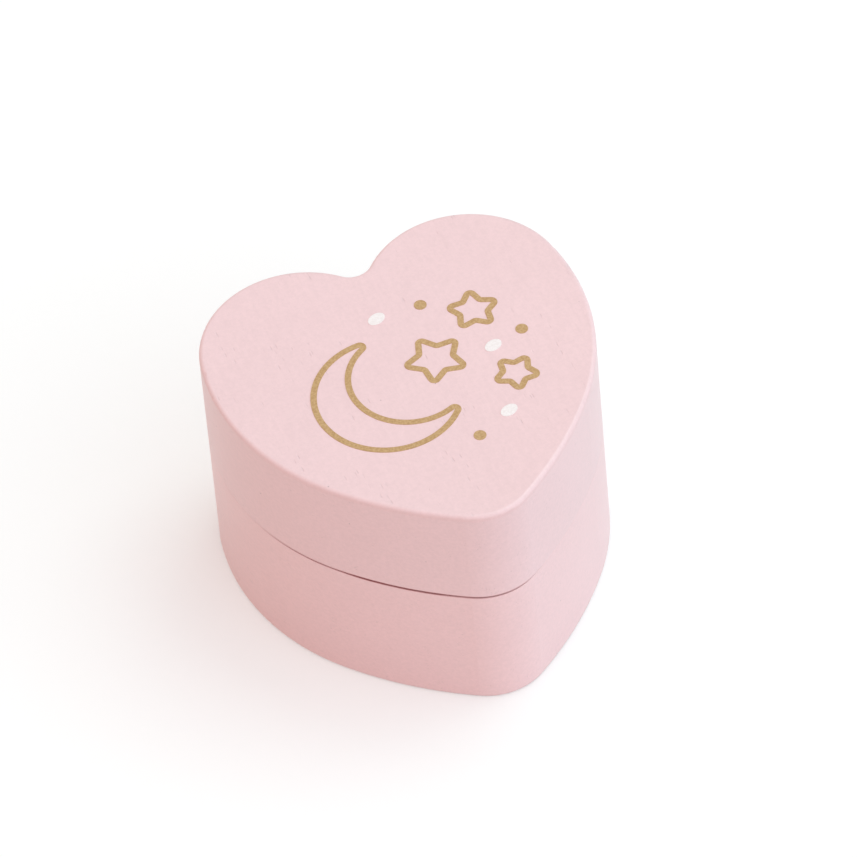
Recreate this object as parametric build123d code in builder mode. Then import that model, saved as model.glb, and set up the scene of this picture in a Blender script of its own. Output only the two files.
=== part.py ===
from build123d import *
from math import atan2, cos, degrees, hypot, radians, sin, sqrt
import os

# A heart-shaped keepsake box of painted wood: a hollow base, a hollow lid that lifts off,
# a thin ring that is glued into the base and guides the lid, and two colours of print.
# The origin is the middle of the underside. Z is up, and the heart's tip points along -Y.

# The heart seen from above
heart_width = 55.0
heart_length = 55.4
cleft_depth = 5.3
cleft_radius = 3.0
tip_radius = 9.0

# How the outline's arcs share out those sizes
lobe_reach_share = 0.983
widest_drop_share = 0.3
side_radius_share = 0.956
flank_radius_share = 1.648

# Base
base_height = 21.2
base_wall = 5.0
base_floor = 4.5
foot_edge_radius = 0.5

# Lid
lid_height = 17.0
lid_top = 5.0
lid_edge_radius = 0.6
recess_corner_radius = 1.5
recess_mouth_chamfer = 0.3

# The seam: the edges are barely broken. Under one flank and the tip the lid's outer edge is
# sanded at a slight slope, which leaves a hairline gap for a fingernail. The gap opens in the
# heading's direction, from a line that stands off the origin by a share of the length.
seam_edge_radius = 0.06
nail_gap_slope = 1.8
nail_gap_heading = -126.0
nail_gap_start_share = 0.262
nail_gap_depth = 1.2

# Locating ring
ring_wall = 1.6
ring_rise = 4.0
ring_lead_in = 0.5
ring_inner_edge_radius = 0.3
glue_gap = 0.1
lid_clearance = 0.5

# Print on the lid: a line drawing of a crescent moon and stars, with small ovals
ink_thickness = 0.06
line_width = 0.9
moon_radius = 10.4
moon_bite_radius = 8.6
moon_bite_shift = 4.4
moon_horn_radius = 0.5
moon_turn = 24.0
moon_place_shares = (-0.095, -0.01)
star_radii = (4.6, 3.8, 3.4)
star_waist_share = 0.54
star_corner_radius = 0.5
star_place_shares = ((0.062, 0.047), (0.215, 0.16), (0.228, -0.085))
star_turns = (10.0, -14.0, 22.0)
spark_radius = 0.9
spark_place_shares = ((0.1, 0.235), (0.3, 0.045), (0.06, -0.24))
oval_length = 2.7
oval_width = 1.9
oval_turn = 20.0
oval_place_shares = ((0.212, 0.025), (-0.02, 0.24), (0.16, -0.195))

# Cuts run this far past the face that they open
overrun = 1.0


def heading(centre_a, centre_b):
    """Direction of travel, in degrees, where two arcs with these centres meet."""
    outward = atan2(centre_b[1] - centre_a[1], centre_b[0] - centre_a[0])
    return degrees(outward) + 90


# Centres are measured from the tip's lowest point. The lobe's circle stays just inside
# the width, and the cleft's arc touches it from the other side.
half_width = heart_width / 2
lobe_reach = half_width * lobe_reach_share
lobe_radius = lobe_reach + cleft_depth - sqrt(2 * cleft_depth * (lobe_reach + cleft_radius))
lobe_centre = (lobe_reach - lobe_radius, heart_length - lobe_radius)
cleft_centre = (0, heart_length - cleft_depth + cleft_radius)

# Below the lobe the outline bulges to the full width, with one arc above its widest line
# and one below.
side_gap = half_width - lobe_reach
widest_drop = lobe_radius * widest_drop_share
widest_line = lobe_centre[1] - widest_drop
shoulder_radius = lobe_radius + side_gap / 2 + widest_drop**2 / (2 * side_gap)
shoulder_centre = (half_width - shoulder_radius, widest_line)
side_radius = widest_line * side_radius_share
side_centre = (half_width - side_radius, widest_line)

# The flank's arc holds the arcs of the side and the tip inside it and touches both, so
# the three centres are the corners of a triangle with known sides.
tip_centre = (0, tip_radius)
flank_radius = widest_line * flank_radius_share
tip_to_side = hypot(side_centre[0] - tip_centre[0], side_centre[1] - tip_centre[1])
flank_to_tip = flank_radius - tip_radius
flank_to_side = flank_radius - side_radius
along = (flank_to_tip**2 - flank_to_side**2 + tip_to_side**2) / (2 * tip_to_side)
across = sqrt(flank_to_tip**2 - along**2)
slant = atan2(side_centre[1] - tip_centre[1], side_centre[0] - tip_centre[0])
flank_centre = (
    tip_centre[0] + along * cos(slant) - across * sin(slant),
    tip_centre[1] + along * sin(slant) + across * cos(slant),
)

# Headings where the arcs meet: 0 at the tip, 90 at the widest line, 180 in the cleft
flank_start = heading(flank_centre, tip_centre)
flank_end = heading(flank_centre, side_centre)
lobe_start = heading(shoulder_centre, lobe_centre)
lobe_end = heading(lobe_centre, cleft_centre)

with BuildSketch() as heart:
    with BuildLine():
        tip = JernArc((0, -heart_length / 2), (1, 0), tip_radius, flank_start)
        flank = JernArc(tip @ 1, tip % 1, flank_radius, flank_end - flank_start)
        side = JernArc(flank @ 1, flank % 1, side_radius, 90 - flank_end)
        shoulder = JernArc(side @ 1, side % 1, shoulder_radius, lobe_start - 90)
        lobe = JernArc(shoulder @ 1, shoulder % 1, lobe_radius, lobe_end - lobe_start)
        cleft = JernArc(lobe @ 1, lobe % 1, cleft_radius, 180 - lobe_end)
        mirror(about=Plane.YZ)
    make_face()

# How far in from the outline each inner wall stands. The lid slips over the ring loosely.
ring_outside = base_wall + glue_gap
ring_inside = ring_outside + ring_wall
lid_wall = ring_outside - lid_clearance

seam_level = base_height
ring_top = seam_level + ring_rise
total_height = seam_level + lid_height

# Base: a solid heart with a heart-shaped well
with BuildPart() as base_body:
    with BuildSketch():
        add(heart.sketch)
    extrude(amount=base_height)
    fillet(base_body.edges().group_by(Axis.Z)[0], foot_edge_radius)
    fillet(base_body.edges().group_by(Axis.Z)[-1], seam_edge_radius)
    with BuildSketch(Plane.XY.offset(base_floor)):
        add(heart.sketch)
        offset(amount=-base_wall)
    extrude(amount=base_height - base_floor + overrun, mode=Mode.SUBTRACT)

# Locating ring: stands on the well's floor and rises past the seam
with BuildPart() as locating_ring:
    with BuildSketch(Plane.XY.offset(base_floor)):
        add(heart.sketch)
        offset(amount=-ring_outside)
    extrude(amount=ring_top - base_floor)
    chamfer(locating_ring.edges().group_by(Axis.Z)[-1], ring_lead_in)
    with BuildSketch(Plane.XY.offset(base_floor - overrun)):
        add(heart.sketch)
        offset(amount=-ring_inside)
    extrude(amount=ring_top - base_floor + 2 * overrun, mode=Mode.SUBTRACT)
    ring_crest = locating_ring.faces().sort_by(Axis.Z)[-1]
    fillet(ring_crest.inner_wires()[0].edges(), ring_inner_edge_radius)

# What is sanded off the lid's edge: the part of an outer band that lies under a sloping plane
nail_way = Vector(cos(radians(nail_gap_heading)), sin(radians(nail_gap_heading)))
nail_plane = Plane(
    origin=nail_way * heart_length * nail_gap_start_share + Vector(0, 0, seam_level),
    x_dir=nail_way.cross(Vector(0, 0, 1)),
    z_dir=Vector(0, 0, cos(radians(nail_gap_slope))) - nail_way * sin(radians(nail_gap_slope)),
)
with BuildPart() as nail_gap:
    with BuildSketch(Plane.XY.offset(seam_level)):
        add(heart.sketch)
        offset(heart.sketch, amount=-nail_gap_depth, mode=Mode.SUBTRACT)
    extrude(amount=lid_height)
    split(bisect_by=nail_plane, keep=Keep.BOTTOM)

# Lid: the same heart, milled out from below to slip over the ring
with BuildPart() as lid_body:
    with BuildSketch(Plane.XY.offset(seam_level)):
        add(heart.sketch)
    extrude(amount=lid_height)
    fillet(lid_body.edges().group_by(Axis.Z)[-1], lid_edge_radius)
    fillet(lid_body.edges().group_by(Axis.Z)[0], seam_edge_radius)
    add(nail_gap.part, mode=Mode.SUBTRACT)
    with BuildSketch(Plane.XY.offset(seam_level)):
        add(heart.sketch)
        offset(amount=-lid_wall)
    extrude(amount=lid_height - lid_top, mode=Mode.SUBTRACT)
    ceiling = lid_body.faces().filter_by(Axis.Z).sort_by(Axis.Z)[1]
    fillet(ceiling.edges(), recess_corner_radius)
    rim = lid_body.faces().filter_by(Axis.Z).sort_by(Axis.Z)[0]
    chamfer(rim.inner_wires()[0].edges(), recess_mouth_chamfer)


def line_around(shape):
    """A line of even width that follows the shape's outline."""
    with BuildSketch() as drawn:
        offset(shape, amount=line_width / 2)
        offset(shape, amount=-line_width / 2, mode=Mode.SUBTRACT)
    return drawn.sketch


def star(radius):
    """A five-pointed star with soft corners."""
    corners = []
    for step in range(10):
        reach = radius if step % 2 == 0 else radius * star_waist_share
        corners.append(Vector(0, reach).rotate(Axis.Z, 36 * step))
    with BuildSketch() as outline:
        with BuildLine():
            Polyline(*corners, close=True)
        make_face()
        fillet(outline.vertices(), star_corner_radius)
    return outline.sketch


def on_lid(shares, turn=0):
    """A place on the lid's top, as shares of the heart's width and length."""
    return Location((heart_width * shares[0], heart_length * shares[1]), turn)


with BuildSketch() as moon:
    Circle(moon_radius)
    with Locations((moon_bite_shift, 0)):
        Circle(moon_bite_radius, mode=Mode.SUBTRACT)
    fillet(moon.vertices(), moon_horn_radius)

# Gold print: the drawn lines and some small sparks
with BuildPart() as gold_print:
    with BuildSketch(Plane.XY.offset(total_height)):
        with Locations(on_lid(moon_place_shares, moon_turn)):
            add(line_around(moon.sketch))
        for radius, shares, turn in zip(star_radii, star_place_shares, star_turns):
            with Locations(on_lid(shares, turn)):
                add(line_around(star(radius)))
        with Locations([on_lid(shares) for shares in spark_place_shares]):
            Circle(spark_radius)
    extrude(amount=ink_thickness)

# White print: small filled ovals
with BuildPart() as white_print:
    with BuildSketch(Plane.XY.offset(total_height)):
        with Locations([on_lid(shares, oval_turn) for shares in oval_place_shares]):
            Ellipse(oval_length / 2, oval_width / 2)
    extrude(amount=ink_thickness)

base_body.part.label = "base_body"
locating_ring.part.label = "locating_ring"
lid_body.part.label = "lid_body"
gold_print.part.label = "gold_print"
white_print.part.label = "white_print"

os.makedirs("parts", exist_ok=True)
export_step(base_body.part, "parts/base_body.step")
export_step(locating_ring.part, "parts/locating_ring.step")
export_step(lid_body.part, "parts/lid_body.step")
export_step(gold_print.part, "parts/gold_print.step")
export_step(white_print.part, "parts/white_print.step")
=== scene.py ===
from math import atan2, cos, pi, radians, sin

import bmesh
import bpy
from mathutils import Matrix, Vector


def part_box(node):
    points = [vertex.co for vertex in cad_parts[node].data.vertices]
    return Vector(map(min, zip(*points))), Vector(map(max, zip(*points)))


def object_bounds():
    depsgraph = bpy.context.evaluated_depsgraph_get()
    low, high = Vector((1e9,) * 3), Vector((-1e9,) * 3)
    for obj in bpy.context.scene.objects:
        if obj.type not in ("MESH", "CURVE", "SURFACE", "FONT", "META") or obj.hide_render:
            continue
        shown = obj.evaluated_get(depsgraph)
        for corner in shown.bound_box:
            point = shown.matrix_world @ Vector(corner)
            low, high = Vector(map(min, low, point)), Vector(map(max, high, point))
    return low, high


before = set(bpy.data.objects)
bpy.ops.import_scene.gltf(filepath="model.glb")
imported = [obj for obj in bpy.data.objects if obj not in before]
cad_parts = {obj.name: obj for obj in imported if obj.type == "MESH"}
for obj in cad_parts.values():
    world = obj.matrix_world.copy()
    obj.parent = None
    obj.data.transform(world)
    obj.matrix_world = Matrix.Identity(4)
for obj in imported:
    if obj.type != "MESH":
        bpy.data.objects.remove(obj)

# A heart-shaped keepsake box of painted wood with a lift-off lid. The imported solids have
# their real shapes, so they stay, and this script gives them their finishes, a floor,
# light and the camera. The heart's tip points along -Y, and the wood's grain runs along Y.

MM = 0.001
cad_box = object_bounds()
rim_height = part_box("base_body")[1].z
well_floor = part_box("locating_ring")[0].z
lid_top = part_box("lid_body")[1].z

# Bare wood in the base starts this far below the well's floor, and ends as far below the rim.
# In the lid it starts where the paint ends, above the rim, and goes on past the ceiling, to this
# far below the top.
BARE_SLACK = 0.1 * MM
LID_PAINT_WRAP = 0.6 * MM
LID_BARE_DROP = 4 * MM

# A face that looks away from this place by more than the limit is on the outside
HEART_MIDDLE = Vector((0, 8 * MM, 0))
OUTWARD_LIMIT = 0.04

# The bands of painted shade, a deeper pink along the lid's top edge and the base's foot and a dark
# rose in the nail gap:
# how far their middles lie below the top and above the base's rim, and how far they reach up and
# down from there
EDGE_DROP = 0.6 * MM
EDGE_REACH = 0.6 * MM
EDGE_UNEVENNESS = 0.3
SEAM_RISE = 0.14 * MM
SEAM_REACH = 0.3 * MM

# The nail gap opens in this direction, from one distance off the middle to the next. Its painted
# shade stays on the outermost part of the rims, and fades away from its darkest place.
NAIL_GAP_HEADING = radians(-131)
NAIL_GAP_START = 15 * MM
NAIL_GAP_FULL = 22 * MM
NAIL_GAP_INWARD = 0.4 * MM
NAIL_GAP_DARKEST = (-13.8 * MM, -19.5 * MM, 0)
NAIL_GAP_DARK_REACH = 5 * MM
NAIL_GAP_FADE_REACH = 9 * MM
NAIL_GAP_FADED_SHARE = 0.5

# The outline is a chain of arcs: round the tip, along the flank and along the side. Neighbours
# touch on the line through their centres. These are for the left half.
TIP_RADIUS = 9 * MM
TIP_CENTRE = Vector((0, cad_box[0].y + TIP_RADIUS))
FLANK_CENTRE = Vector((27.1, 24.8)) * MM
SIDE_CENTRE = Vector((7.45, 8.86)) * MM
ARC_OVERLAP = radians(0.2)

# Most of a noise pattern lies between these
NOISE_LOW = 0.3
NOISE_HIGH = 0.7

# How often each pattern repeats in a metre
GRAIN_SWAYS = 90.0
PORE_CELLS = 2600.0
PORE_ROWS = 420.0
RING_WAVERS = 150.0
BAND_BORDER_WOBBLES = 700.0
GAP_SHADE_PATCHES = 170.0
TINT_CLOUDS = 70.0
PAINT_FLECKS = 1900.0
PAINT_FIBRES = 1900.0
PAINT_PEEL = 2600.0
DUST_CELLS = 620.0
SANDING_LINES = 1900.0
WOOD_FIBRES = 1600.0
WOOD_PATCHES = 60.0
INK_GRAINS = 3300.0
INK_BUMPS = 2600.0

# The wood's grain: how far it sways aside, where the origin lies as seen from the growth rings'
# axis, and by how many rings they waver
GRAIN_SWAY_REACH = 2.4 * MM
ORIGIN_FROM_RING_AXIS = (9 * MM, 0, 40 * MM)
RING_WAVER = 1.4

# The share of the dust cells that hold no speck
EMPTY_DUST_SHARE = 0.93

# How deep the relief of the finishes is
WOOD_RELIEF = 0.03 * MM
INK_RELIEF = 0.006 * MM

# Colours, in linear light
LID_PINK = (0.86, 0.603, 0.608, 1)
# The base's pink is the lid's paint a little redder: partly a real difference in the paint, partly
# painted warm bounce light from the floor
BASE_PINK_AND_BOUNCE = (0.886, 0.61, 0.612, 1)
# Painted shade: a deeper pink where the lid's rounded top edge and the base's foot lie in shade
EDGE_SHADE_PINK = (0.855, 0.588, 0.59, 1)
# Painted shade: a dark rose in the seam gap under the lid's edge
GAP_SHADE_PINK = (0.48, 0.19, 0.19, 1)
WOOD_LIGHT = (0.74, 0.56, 0.37, 1)
WOOD_DARK = (0.47, 0.29, 0.15, 1)
GOLD = (0.45, 0.25, 0.095, 1)
GOLD_THIN = (0.6, 0.38, 0.18, 1)
WHITE = (0.95, 0.86, 0.845, 1)
WHITE_THIN = (0.87, 0.77, 0.745, 1)

# Floor: a wide white sheet that keeps the box's soft shadow. It throws warm light on the box.
FLOOR_SIDE = 3.0
FLOOR_LEVEL = -0.02 * MM
FLOOR_ROUGHNESS = 0.9
FLOOR_SEEN = (0.72, 0.69, 0.68, 1)
FLOOR_BOUNCE = (0.7, 0.615, 0.59, 1)
FLOOR_GLOW = (0.3, 0.31, 0.31, 1)

# Light: a lamp, and a soft surround that brightens towards some directions, each with its
# exponent and colour
LAMP_PLACE = Vector((0.48, 0.2, 0.99))
LAMP_SIDE = 0.7
LAMP_WATTS = 4.0
LAMP_COLOUR = (0.79, 1.02, 1.0)
SURROUND = {
    "overhead": ((0, 0, 1), 8, (0.303, 0.4, 0.456)),
    "window side": ((0.68, -0.72, 0.12), 5, (1.55, 1.92, 2.15)),
    "room side": ((-1, 0, 0), 1, (0.91, 0.695, 0.62)),
}
BACKDROP_WHITE = (1, 1, 1, 1)

# Camera: how the photograph looks at the box, with angles in degrees and the lens and sensor
# in millimetres
VIEW_POINT = Vector((3.0, 7.32, 19.1)) * MM
VIEW_AZIMUTH = -19.13
VIEW_ELEVATION = 47.99
VIEW_ROLL = 5.45
VIEW_DISTANCE = 1.4858
VIEW_LENS = 441.0
VIEW_SENSOR = 36.0
VIEW_NEAREST = 0.01
VIEW_FARTHEST = 20.0


def add_node(tree, kind, inputs=(), **settings):
    """A new node. inputs maps its sockets to values or to the sockets that feed them."""
    made = tree.nodes.new(kind)
    for name, value in settings.items():
        setattr(made, name, value)
    for key, value in dict(inputs).items():
        if isinstance(value, bpy.types.NodeSocket):
            tree.links.new(value, made.inputs[key])
        else:
            made.inputs[key].default_value = value
    return made


def new_group(name, inputs, outputs):
    """An empty shader group, with the sockets inside it that its inputs and outputs use."""
    tree = bpy.data.node_groups.new(name, "ShaderNodeTree")
    for label, (kind, value) in inputs.items():
        socket = tree.interface.new_socket(label, in_out="INPUT", socket_type=kind)
        socket.default_value = value
    for label, kind in outputs.items():
        tree.interface.new_socket(label, in_out="OUTPUT", socket_type=kind)
    source = tree.nodes.new("NodeGroupInput").outputs
    result = tree.nodes.new("NodeGroupOutput").inputs
    return tree, source, result


def math(tree, operation, *values, clamp=False):
    """The result of one arithmetic step on values or sockets."""
    step = add_node(tree, "ShaderNodeMath", dict(enumerate(values)), operation=operation)
    step.use_clamp = clamp
    return step.outputs[0]


def chain(tree, operation, first, *others):
    """The same arithmetic step with each value in turn."""
    for value in others:
        first = math(tree, operation, first, value)
    return first


def vector_math(tree, operation, *values):
    """The vector that one step on vectors gives."""
    step = add_node(tree, "ShaderNodeVectorMath", dict(enumerate(values)), operation=operation)
    return step.outputs[0]


def measure(tree, operation, *values):
    """The number that one step on vectors gives, such as a length or a dot product."""
    step = add_node(tree, "ShaderNodeVectorMath", dict(enumerate(values)), operation=operation)
    return step.outputs["Value"]


def scaled(tree, vector, share):
    """A vector or colour times a number."""
    inputs = {0: vector, "Scale": share}
    return add_node(tree, "ShaderNodeVectorMath", inputs, operation="SCALE").outputs[0]


def span(tree, value, low, high, to_low=0.0, to_high=1.0):
    """value carried from one range to another, with soft ends, and held within it."""
    inputs = {
        "Value": value,
        "From Min": low,
        "From Max": high,
        "To Min": to_low,
        "To Max": to_high,
    }
    made = add_node(tree, "ShaderNodeMapRange", inputs, interpolation_type="SMOOTHSTEP")
    return made.outputs["Result"]


def vary(tree, pattern, to_low=0.0, to_high=1.0):
    """A noise pattern carried from its usual range to another."""
    return span(tree, pattern, NOISE_LOW, NOISE_HIGH, to_low, to_high)


def blend(tree, factor, first, second):
    """first where factor is 0, second where it is 1, for colours."""
    made = add_node(tree, "ShaderNodeMix", {"Factor": factor}, data_type="RGBA")
    for socket, value in ((made.inputs[6], first), (made.inputs[7], second)):
        if isinstance(value, bpy.types.NodeSocket):
            tree.links.new(value, socket)
        else:
            socket.default_value = value
    return made.outputs[2]


def blend_numbers(tree, factor, first, second):
    """first where factor is 0, second where it is 1, for numbers."""
    return add_node(tree, "ShaderNodeMix", {0: factor, 2: first, 3: second}).outputs[0]


def place(tree):
    """Where a point lies on the object."""
    return add_node(tree, "ShaderNodeTexCoord").outputs["Object"]


def stretched(tree, vector, share):
    """Coordinates in which a pattern repeats only this share as often along the grain."""
    inputs = {"Vector": vector, "Scale": (1, share, 1)}
    return add_node(tree, "ShaderNodeMapping", inputs).outputs[0]


def height_of(tree, here):
    """How high a point lies above the table."""
    return add_node(tree, "ShaderNodeSeparateXYZ", {0: here}).outputs["Z"]


def noise(tree, vector, scale, detail=2.0, roughness=0.5):
    """Soft noise that repeats about scale times in a metre."""
    inputs = {"Vector": vector, "Scale": scale, "Detail": detail, "Roughness": roughness}
    return add_node(tree, "ShaderNodeTexNoise", inputs).outputs["Fac"]


def cells(tree, vector, scale):
    """Small cells: how far a point is from its cell's core, and the cell's random colour."""
    inputs = {"Vector": vector, "Scale": scale}
    made = add_node(tree, "ShaderNodeTexVoronoi", inputs, feature="F1").outputs
    return made["Distance"], add_node(tree, "ShaderNodeSeparateColor", {0: made["Color"]}).outputs


FLOAT, COLOUR = "NodeSocketFloat", "NodeSocketColor"


def make_wood_grain():
    """Open pores that run along Y, and growth rings. The wood under the paint has them too."""
    tree, source, result = new_group(
        "Wood Grain",
        {"Pore Share": (FLOAT, 0.12), "Ring Spacing": (FLOAT, 2.2 * MM)},
        {"Pores": FLOAT, "Rings": FLOAT},
    )
    # The grain wanders a little, so its coordinates are pushed sideways by slow noise.
    here = place(tree)
    sway = noise(tree, stretched(tree, here, 0.35), GRAIN_SWAYS, detail=1.0)
    sway = math(tree, "MULTIPLY", math(tree, "SUBTRACT", sway, 0.5), GRAIN_SWAY_REACH)
    shift = add_node(tree, "ShaderNodeCombineXYZ", {"X": sway, "Z": sway}).outputs[0]
    wandering = vector_math(tree, "ADD", here, shift)

    # Each pore is the core of a long cell. Only some cells hold one, mostly in short rows.
    distance, pick = cells(tree, stretched(tree, wandering, 0.2), PORE_CELLS)
    core = span(tree, distance, 0.14, 0.36, 1.0, 0.0)
    rows = noise(tree, stretched(tree, wandering, 0.12), PORE_ROWS, detail=1.0)
    rows = span(tree, rows, 0.57, 0.69, 0.03, 1.0)
    limit = math(tree, "SUBTRACT", 1.0, math(tree, "MULTIPLY", source["Pore Share"], rows))
    chosen = math(tree, "GREATER_THAN", pick[0], limit)
    depth = span(tree, pick[1], 0.0, 1.0, 0.3, 1.0)
    tree.links.new(chain(tree, "MULTIPLY", core, chosen, depth), result["Pores"])

    # Growth rings: shells round a line that lies below the box, along Y.
    from_axis = vector_math(tree, "ADD", wandering, ORIGIN_FROM_RING_AXIS)
    from_axis = vector_math(tree, "MULTIPLY", from_axis, (1, 0.04, 1))
    turn = math(tree, "DIVIDE", measure(tree, "LENGTH", from_axis), source["Ring Spacing"])
    uneven = math(tree, "MULTIPLY", noise(tree, from_axis, RING_WAVERS), RING_WAVER)
    saw = math(tree, "FRACT", math(tree, "ADD", turn, uneven))
    rings = math(tree, "MULTIPLY", saw, span(tree, saw, 0.86, 1.0, 1.0, 0.0))
    tree.links.new(rings, result["Rings"])
    return tree


def share_of_reach(tree, here, source):
    """How far a point lies above or below a group's Height, as a share of its Reach."""
    away = math(tree, "SUBTRACT", height_of(tree, here), source["Height"])
    return math(tree, "DIVIDE", math(tree, "ABSOLUTE", away), source["Reach"])


def make_level_band():
    """1 in a level band round the box, with an uneven border."""
    tree, source, result = new_group(
        "Level Band",
        {"Height": (FLOAT, 0.0), "Reach": (FLOAT, 1 * MM)},
        {"Band": FLOAT},
    )
    here = place(tree)
    # The painted shade band's border wobbles with noise
    wobble = vary(tree, noise(tree, here, BAND_BORDER_WOBBLES, detail=3.0, roughness=0.6), -0.3, 1.0)
    wobble = math(tree, "MULTIPLY", wobble, EDGE_UNEVENNESS)
    away = math(tree, "ADD", share_of_reach(tree, here, source), wobble)
    tree.links.new(span(tree, away, 0.5, 1.0, 1.0, 0.0), result["Band"])
    return tree


def arcs_along_nail_gap():
    """The centre and radius of each arc from the left side to the right flank, and the
    directions in which its ends lie."""
    to_tip = TIP_CENTRE - FLANK_CENTRE
    to_side = SIDE_CENTRE - FLANK_CENTRE
    flank_radius = TIP_RADIUS + to_tip.length
    side_end = atan2(to_side.y, to_side.x)
    flank_end = atan2(to_tip.y, to_tip.x)
    mirrored = Vector((-FLANK_CENTRE.x, FLANK_CENTRE.y))
    return (
        (SIDE_CENTRE, flank_radius - to_side.length, -pi, side_end),
        (FLANK_CENTRE, flank_radius, side_end, flank_end),
        (TIP_CENTRE, TIP_RADIUS, flank_end, -pi - flank_end),
        (mirrored, flank_radius, -pi - flank_end, -pi - side_end),
    )


def outline_edge(tree, level):
    """1 just inside the outline's arcs along the nail gap, 0 further in."""
    edge = 0.0
    for centre, radius, start, end in arcs_along_nail_gap():
        arm = vector_math(tree, "SUBTRACT", level, centre.to_3d())
        length = measure(tree, "LENGTH", arm)
        inner = radius - NAIL_GAP_INWARD
        outer = span(tree, length, inner, inner + NAIL_GAP_INWARD / 2)
        middle = (start + end) / 2
        along = measure(tree, "DOT_PRODUCT", arm, (cos(middle), sin(middle), 0))
        least = math(tree, "MULTIPLY", length, cos((end - start) / 2 + ARC_OVERLAP))
        within = math(tree, "GREATER_THAN", along, least)
        edge = math(tree, "MAXIMUM", edge, math(tree, "MULTIPLY", outer, within))
    return edge


def make_nail_gap():
    """Painted shade: 1 in the gap under the lid's edge, on the side its heading points to, less in
    patches.
    """
    tree, source, result = new_group(
        "Nail Gap",
        {"Height": (FLOAT, 0.0), "Reach": (FLOAT, 1 * MM)},
        {"Gap": FLOAT},
    )
    here = place(tree)
    near = span(tree, share_of_reach(tree, here, source), 0.5, 1.0, 1.0, 0.0)
    heading = (cos(NAIL_GAP_HEADING), sin(NAIL_GAP_HEADING), 0)
    along = measure(tree, "DOT_PRODUCT", here, heading)
    along = span(tree, along, NAIL_GAP_START, NAIL_GAP_FULL)
    # The painted shade in the gap is uneven in patches, and fades away from its darkest place
    shade_patches = noise(tree, here, GAP_SHADE_PATCHES, detail=3.0, roughness=0.6)
    shade_patches = span(tree, shade_patches, 0.36, 0.6, 0.8, 1.0)
    level = vector_math(tree, "MULTIPLY", here, (1, 1, 0))
    aside = measure(tree, "DISTANCE", level, NAIL_GAP_DARKEST)
    fade = span(
        tree, aside, NAIL_GAP_DARK_REACH, NAIL_GAP_FADE_REACH, 1.0, NAIL_GAP_FADED_SHARE
    )
    gap = chain(tree, "MULTIPLY", near, along, shade_patches, fade, outline_edge(tree, level))
    tree.links.new(gap, result["Gap"])
    return tree


def make_paint_film():
    """A sprayed matte film: cloudy tint, fine peel, pits, the wood's pores sunk through, and
    painted shade along an edge and in the nail gap.
    """
    tree, source, result = new_group(
        "Paint Film",
        {
            "Paint": (COLOUR, (1, 1, 1, 1)),
            "Deep Paint": (COLOUR, (1, 1, 1, 1)),
            "Gap Paint": (COLOUR, (1, 1, 1, 1)),
            "Edge": (FLOAT, 0.0),
            "Gap": (FLOAT, 0.0),
            "Pores": (FLOAT, 0.0),
            "Rings": (FLOAT, 0.0),
        },
        {"Color": COLOUR, "Roughness": FLOAT, "Height": FLOAT},
    )
    here = place(tree)
    cloud = noise(tree, here, TINT_CLOUDS, detail=3.0, roughness=0.55)
    fleck = noise(tree, here, PAINT_FLECKS, detail=3.0, roughness=0.7)
    fibre = noise(tree, stretched(tree, here, 0.2), PAINT_FIBRES, roughness=0.6)
    tone = chain(
        tree,
        "MULTIPLY",
        vary(tree, cloud, 0.991, 1.008),
        vary(tree, fleck, 0.974, 1.022),
        vary(tree, fibre, 0.987, 1.011),
    )

    # Dust pits: a few dark specks, much smaller than the cells that they lie in
    distance, pick = cells(tree, here, DUST_CELLS)
    speck = span(tree, distance, 0.05, 0.085, 1.0, 0.0)
    speck = math(tree, "MULTIPLY", speck, math(tree, "GREATER_THAN", pick[0], EMPTY_DUST_SHARE))

    pore_shade = math(tree, "MULTIPLY", source["Pores"], 0.095)
    dust_shade = math(tree, "MULTIPLY", speck, 0.3)
    tone = math(tree, "SUBTRACT", tone, math(tree, "MAXIMUM", pore_shade, dust_shade))
    # Painted shade: a deeper pink along an edge, and a dark rose in the nail gap
    body = blend(tree, source["Edge"], source["Paint"], source["Deep Paint"])
    body = blend(tree, source["Gap"], body, source["Gap Paint"])
    tree.links.new(scaled(tree, body, tone), result["Color"])
    tree.links.new(span(tree, fleck, 0.2, 0.8, 0.3, 0.38), result["Roughness"])

    peel = noise(tree, here, PAINT_PEEL)
    sanding = noise(tree, stretched(tree, here, 0.12), SANDING_LINES)
    height = chain(
        tree,
        "ADD",
        math(tree, "MULTIPLY", peel, 0.16),
        math(tree, "MULTIPLY", sanding, 0.1),
        math(tree, "MULTIPLY", source["Rings"], 0.04),
    )
    height = chain(tree, "SUBTRACT", height, source["Pores"], speck)
    tree.links.new(height, result["Height"])
    return tree


def make_sanded_wood():
    """Bare pale hardwood: growth rings, darker pores and fine sanding lines."""
    tree, source, result = new_group(
        "Sanded Wood",
        {
            "Light": (COLOUR, (1, 1, 1, 1)),
            "Dark": (COLOUR, (0, 0, 0, 1)),
            "Pores": (FLOAT, 0.0),
            "Rings": (FLOAT, 0.0),
        },
        {"Color": COLOUR, "Roughness": FLOAT, "Height": FLOAT},
    )
    here = place(tree)
    fibre = noise(tree, stretched(tree, here, 0.05), WOOD_FIBRES, detail=3.0, roughness=0.6)
    patch = noise(tree, stretched(tree, here, 0.3), WOOD_PATCHES)
    dark = chain(
        tree,
        "ADD",
        math(tree, "MULTIPLY", source["Rings"], 0.4),
        vary(tree, fibre, -0.1, 0.2),
        vary(tree, patch, -0.08, 0.14),
        math(tree, "MULTIPLY", source["Pores"], 0.7),
    )
    dark = math(tree, "MULTIPLY", dark, 1.0, clamp=True)
    tree.links.new(blend(tree, dark, source["Light"], source["Dark"]), result["Color"])
    tree.links.new(span(tree, fibre, 0.2, 0.8, 0.55, 0.68), result["Roughness"])
    height = math(tree, "SUBTRACT", math(tree, "MULTIPLY", fibre, 0.3), source["Pores"])
    tree.links.new(height, result["Height"])
    return tree


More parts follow.
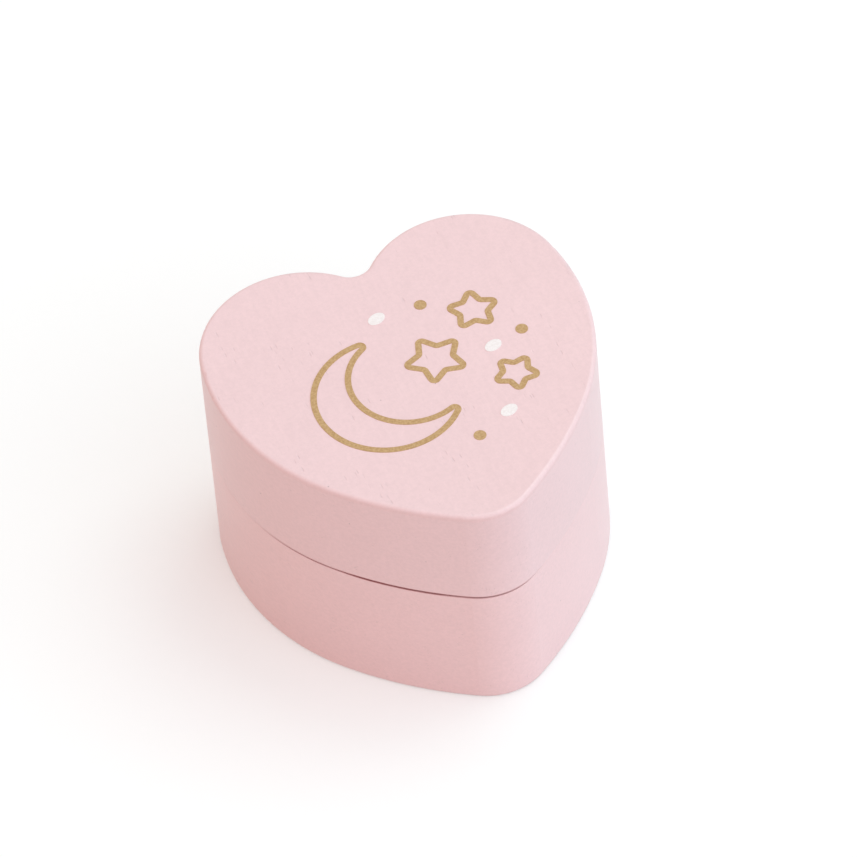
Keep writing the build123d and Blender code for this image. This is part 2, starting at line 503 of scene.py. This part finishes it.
def make_unpainted_inside():
    """1 on a hollow's floor, ceiling and walls between two heights, 0 on outer faces."""
    tree, source, result = new_group(
        "Unpainted Inside",
        {"Low": (FLOAT, 0.0), "High": (FLOAT, 0.0)},
        {"Bare": FLOAT},
    )
    here = place(tree)
    height = height_of(tree, here)
    above = math(tree, "GREATER_THAN", height, source["Low"])
    below = math(tree, "LESS_THAN", height, source["High"])
    outward = vector_math(tree, "SUBTRACT", here, HEART_MIDDLE)
    outward = vector_math(tree, "NORMALIZE", vector_math(tree, "MULTIPLY", outward, (1, 1, 0)))
    facing = add_node(tree, "ShaderNodeNewGeometry").outputs["True Normal"]
    facing_out = measure(tree, "DOT_PRODUCT", facing, outward)
    inner = math(tree, "LESS_THAN", facing_out, OUTWARD_LIMIT)
    tree.links.new(chain(tree, "MULTIPLY", above, below, inner), result["Bare"])
    return tree


def make_printed_ink():
    """Screen-printed ink: a thin film with a fine grain, from full to thin cover."""
    tree, source, result = new_group(
        "Printed Ink",
        {"Ink": (COLOUR, (1, 1, 1, 1)), "Thin Ink": (COLOUR, (1, 1, 1, 1))},
        {"Color": COLOUR, "Roughness": FLOAT, "Height": FLOAT},
    )
    here = place(tree)
    cover = noise(tree, here, INK_GRAINS, detail=3.0, roughness=0.7)
    thin = span(tree, cover, 0.33, 0.67)
    tree.links.new(blend(tree, thin, source["Ink"], source["Thin Ink"]), result["Color"])
    tree.links.new(vary(tree, cover, 0.36, 0.5), result["Roughness"])
    tree.links.new(noise(tree, here, INK_BUMPS), result["Height"])
    return tree


wood_grain = make_wood_grain()
level_band = make_level_band()
nail_gap = make_nail_gap()
paint_film = make_paint_film()
sanded_wood = make_sanded_wood()
unpainted_inside = make_unpainted_inside()
printed_ink = make_printed_ink()


def use_group(tree, group, **inputs):
    """Places a shared effect in a material, with its own values."""
    labels = {name.replace("_", " ").title(): value for name, value in inputs.items()}
    return add_node(tree, "ShaderNodeGroup", labels, node_tree=group).outputs


def new_material(name):
    """A material with only a Principled surface."""
    material = bpy.data.materials.new(name)
    material.use_nodes = True
    tree = material.node_tree
    tree.nodes.clear()
    surface = tree.nodes.new("ShaderNodeBsdfPrincipled")
    output = tree.nodes.new("ShaderNodeOutputMaterial")
    tree.links.new(surface.outputs[0], output.inputs["Surface"])
    return material, tree, surface


def finish_surface(tree, surface, colour, roughness, height, depth):
    """Feeds a Principled surface, with relief of a real depth in metres."""
    bump = add_node(tree, "ShaderNodeBump", {"Height": height, "Distance": depth, "Strength": 1.0})
    tree.links.new(colour, surface.inputs["Base Color"])
    tree.links.new(roughness, surface.inputs["Roughness"])
    tree.links.new(bump.outputs[0], surface.inputs["Normal"])


def bare_finish(tree, grain):
    """The sanded wood, with the pores and rings of this grain."""
    return use_group(
        tree,
        sanded_wood,
        light=WOOD_LIGHT,
        dark=WOOD_DARK,
        pores=grain["Pores"],
        rings=grain["Rings"],
    )


def painted_wood(name, pink, low, high, edge_height):
    """Pink paint outside, with painted shade along one edge and in the nail gap, and bare wood in
    a hollow that reaches from low to high."""
    material, tree, surface = new_material(name)
    grain = use_group(tree, wood_grain, pore_share=0.6)
    # The masks of painted shade: a band at edge_height, and the nail gap above the rim
    edge = use_group(tree, level_band, height=edge_height, reach=EDGE_REACH)["Band"]
    gap = use_group(tree, nail_gap, height=rim_height + SEAM_RISE, reach=SEAM_REACH)["Gap"]
    paint = use_group(
        tree,
        paint_film,
        paint=pink,
        deep_paint=EDGE_SHADE_PINK,
        gap_paint=GAP_SHADE_PINK,
        edge=edge,
        gap=gap,
        pores=grain["Pores"],
        rings=grain["Rings"],
    )
    wood = bare_finish(tree, grain)
    bare = use_group(tree, unpainted_inside, low=low, high=high)["Bare"]
    colour = blend(tree, bare, paint["Color"], wood["Color"])
    roughness = blend_numbers(tree, bare, paint["Roughness"], wood["Roughness"])
    height = blend_numbers(tree, bare, paint["Height"], wood["Height"])
    finish_surface(tree, surface, colour, roughness, height, WOOD_RELIEF)
    surface.inputs["Specular IOR Level"].default_value = 0.5
    return material


def bare_wood(name):
    """The locating ring's unpainted wood."""
    material, tree, surface = new_material(name)
    wood = bare_finish(tree, use_group(tree, wood_grain, pore_share=0.9, ring_spacing=1.6 * MM))
    finish_surface(tree, surface, wood["Color"], wood["Roughness"], wood["Height"], WOOD_RELIEF)
    surface.inputs["Specular IOR Level"].default_value = 0.35
    return material


def ink(name, full, thin):
    """One colour of the print on the lid."""
    material, tree, surface = new_material(name)
    film = use_group(tree, printed_ink, ink=full, thin_ink=thin)
    finish_surface(tree, surface, film["Color"], film["Roughness"], film["Height"], INK_RELIEF)
    return material


def dress(node, material):
    """Gives a CAD node its finish."""
    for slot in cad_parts[node].material_slots:
        slot.material = material


# The base's band of painted shade lies along its foot, at height 0.
base_paint = painted_wood(
    "Base Paint", BASE_PINK_AND_BOUNCE, well_floor - BARE_SLACK, rim_height - BARE_SLACK, 0.0
)
lid_paint = painted_wood(
    "Lid Paint",
    LID_PINK,
    rim_height + LID_PAINT_WRAP,
    lid_top - LID_BARE_DROP,
    lid_top - EDGE_DROP,
)
dress("base_body", base_paint)
dress("lid_body", lid_paint)
dress("locating_ring", bare_wood("Ring Wood"))
dress("gold_print", ink("Gold Ink", GOLD, GOLD_THIN))
dress("white_print", ink("White Ink", WHITE, WHITE_THIN))


def light_paths(tree):
    """1 for what the camera sees directly or in a reflection or through glass."""
    path = tree.nodes.new("ShaderNodeLightPath").outputs
    seen = (path["Is Camera Ray"], path["Is Glossy Ray"], path["Is Transmission Ray"])
    return chain(tree, "MAXIMUM", *seen)


def add_object(name, data):
    """A new object in the scene."""
    made = bpy.data.objects.new(name, data)
    bpy.context.scene.collection.objects.link(made)
    return made


def make_floor():
    sheet = bmesh.new()
    bmesh.ops.create_grid(sheet, x_segments=1, y_segments=1, size=FLOOR_SIDE / 2)
    bmesh.ops.translate(sheet, vec=(0, 0, FLOOR_LEVEL), verts=sheet.verts)
    mesh = bpy.data.meshes.new("floor")
    sheet.to_mesh(mesh)
    sheet.free()
    floor = add_object("floor", mesh)
    material, tree, surface = new_material("Pale Floor")
    seen = light_paths(tree)
    tree.links.new(blend(tree, seen, FLOOR_BOUNCE, FLOOR_SEEN), surface.inputs["Base Color"])
    surface.inputs["Roughness"].default_value = FLOOR_ROUGHNESS
    surface.inputs["Specular IOR Level"].default_value = 0.0
    surface.inputs["Emission Color"].default_value = FLOOR_GLOW
    tree.links.new(seen, surface.inputs["Emission Strength"])
    mesh.materials.append(material)


def make_world():
    world = bpy.data.worlds.new("surround")
    bpy.context.scene.world = world
    world.use_nodes = True
    tree = world.node_tree
    tree.nodes.clear()
    direction = add_node(tree, "ShaderNodeTexCoord").outputs["Generated"]
    total = (0, 0, 0)
    for towards, exponent, colour in SURROUND.values():
        share = measure(tree, "DOT_PRODUCT", direction, Vector(towards).normalized())
        share = math(tree, "MULTIPLY_ADD", share, 0.5, 0.5, clamp=True)
        share = math(tree, "POWER", share, exponent)
        total = vector_math(tree, "ADD", total, scaled(tree, colour, share))
    seen = blend(tree, light_paths(tree), total, BACKDROP_WHITE)
    background = add_node(tree, "ShaderNodeBackground", {"Color": seen, "Strength": 1.0})
    output = tree.nodes.new("ShaderNodeOutputWorld")
    tree.links.new(background.outputs[0], output.inputs["Surface"])


def make_lamp():
    lamp = bpy.data.lights.new("high_lamp", "AREA")
    lamp.size = LAMP_SIDE
    lamp.energy = LAMP_WATTS
    lamp.color = LAMP_COLOUR
    holder = add_object("high_lamp", lamp)
    holder.location = LAMP_PLACE
    aim = (cad_box[0] + cad_box[1]) / 2 - LAMP_PLACE
    holder.rotation_euler = aim.to_track_quat("-Z", "Y").to_euler()


def make_camera():
    azimuth = radians(VIEW_AZIMUTH)
    elevation = radians(VIEW_ELEVATION)
    right = Vector((cos(azimuth), sin(azimuth), 0))
    back = Vector(
        (sin(azimuth) * cos(elevation), -cos(azimuth) * cos(elevation), sin(elevation))
    )
    up = back.cross(right)
    turn = Matrix((right, up, back)).transposed() @ Matrix.Rotation(-radians(VIEW_ROLL), 3, "Z")
    camera = bpy.data.cameras.new("camera")
    camera.sensor_width = VIEW_SENSOR
    camera.lens = VIEW_LENS
    camera.clip_start = VIEW_NEAREST
    camera.clip_end = VIEW_FARTHEST
    holder = add_object("camera", camera)
    holder.matrix_world = Matrix.Translation(VIEW_POINT + back * VIEW_DISTANCE) @ turn.to_4x4()
    bpy.context.scene.camera = holder


make_floor()
make_world()
make_lamp()
make_camera()

bpy.context.scene.view_settings.view_transform = "Standard"
